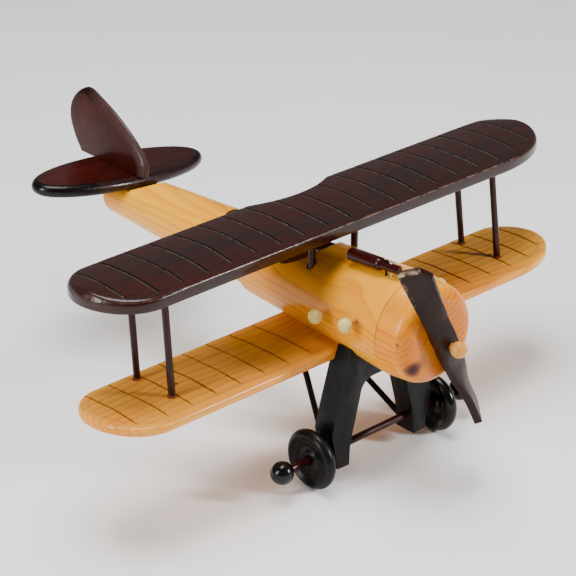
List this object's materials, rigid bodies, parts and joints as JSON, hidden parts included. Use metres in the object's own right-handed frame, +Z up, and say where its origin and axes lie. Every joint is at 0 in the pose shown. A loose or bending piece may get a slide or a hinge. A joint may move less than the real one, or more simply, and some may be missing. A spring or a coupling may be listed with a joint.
{
  "type": "propeller plane model",
  "caption": "Wooden biplane display model with a round log fuselage, two ribbed plank wings on dowel struts, a spinning propeller and rolling wheels on an arched gear block.",
  "frame": {"origin": "on the ground under the middle of the model's overall box, at the height of the wheels' lowest points with the fuselage level", "axes": "+X towards the model's own left wing tip, -Y towards the nose and propeller, +Y towards the tail, +Z up"},
  "size_m": [0.4362, 0.4325, 0.1903],
  "materials": {
    "pine": "clear varnish over turned pine, glossy",
    "pine_wing": "clear varnish over pine plank, glossy",
    "dark_wing": "near-black mahogany stain under gloss varnish",
    "mahogany": "dark mahogany stain under gloss varnish",
    "dowel_wood": "raw dowel, glued",
    "ivory_paint": "pale ivory paint on turned wooden beads",
    "bead_wood": "clear varnish on a turned wooden bead",
    "walnut": "dark brown stain, satin",
    "maroon_stain": "maroon stain, satin",
    "black_paint": "satin black paint",
    "black_gloss": "black paint, semi-gloss",
    "black_iron": "blackened nail",
    "steel": "bright nail"
  },
  "bodies": {
    "airframe": {"nose_cowl": "pine", "fuselage_body": "pine", "tail_boom": "pine", "cowl_dowel": "dowel_wood", "tail_dowel": "dowel_wood", "fin_pin_front": "dowel_wood", "fin_pin_rear": "dowel_wood", "exhaust_peg_right_rear": "ivory_paint", "exhaust_ball_right_rear": "ivory_paint", "exhaust_peg_right_front": "ivory_paint", "exhaust_ball_right_front": "ivory_paint", "exhaust_peg_left_rear": "ivory_paint", "exhaust_ball_left_rear": "ivory_paint", "exhaust_peg_left_front": "ivory_paint", "exhaust_ball_left_front": "ivory_paint", "upper_wing": "dark_wing", "lower_wing": "pine_wing", "strut_right_front": "mahogany", "strut_right_rear": "mahogany", "cabane_strut_right": "mahogany", "gear_brace_right": "mahogany", "strut_brad_right": "black_iron", "strut_left_front": "mahogany", "strut_left_rear": "mahogany", "cabane_strut_left": "mahogany", "gear_brace_left": "mahogany", "strut_brad_left": "black_iron", "stabiliser": "mahogany", "fin": "mahogany", "gun_jacket": "mahogany", "gun_barrel": "mahogany", "gun_nail_rear": "black_iron", "gun_nail_front": "steel", "propeller_pin": "bead_wood", "propeller_ball": "bead_wood", "gear_frame": "black_paint", "axle": "maroon_stain", "hub_ball_right": "black_gloss", "hub_ball_left": "black_gloss"},
    "propeller": {"propeller": "walnut"},
    "right_wheel": {"wheel_right": "black_gloss"},
    "left_wheel": {"wheel_left": "black_gloss"}
  },
  "joints": [
    {"name": "propeller_spin", "type": "hinge", "parent": "airframe", "child": "propeller", "pos_m": [0, -0.1978, 0.1183], "axis": [0, -1, 0], "continuous": true},
    {"name": "right_wheel_spin", "type": "hinge", "parent": "airframe", "child": "right_wheel", "pos_m": [-0.0609, -0.1303, 0.0225], "axis": [1, 0, 0], "continuous": true},
    {"name": "left_wheel_spin", "type": "hinge", "parent": "airframe", "child": "left_wheel", "pos_m": [0.0609, -0.1303, 0.0225], "axis": [1, 0, 0], "continuous": true}
  ]
}
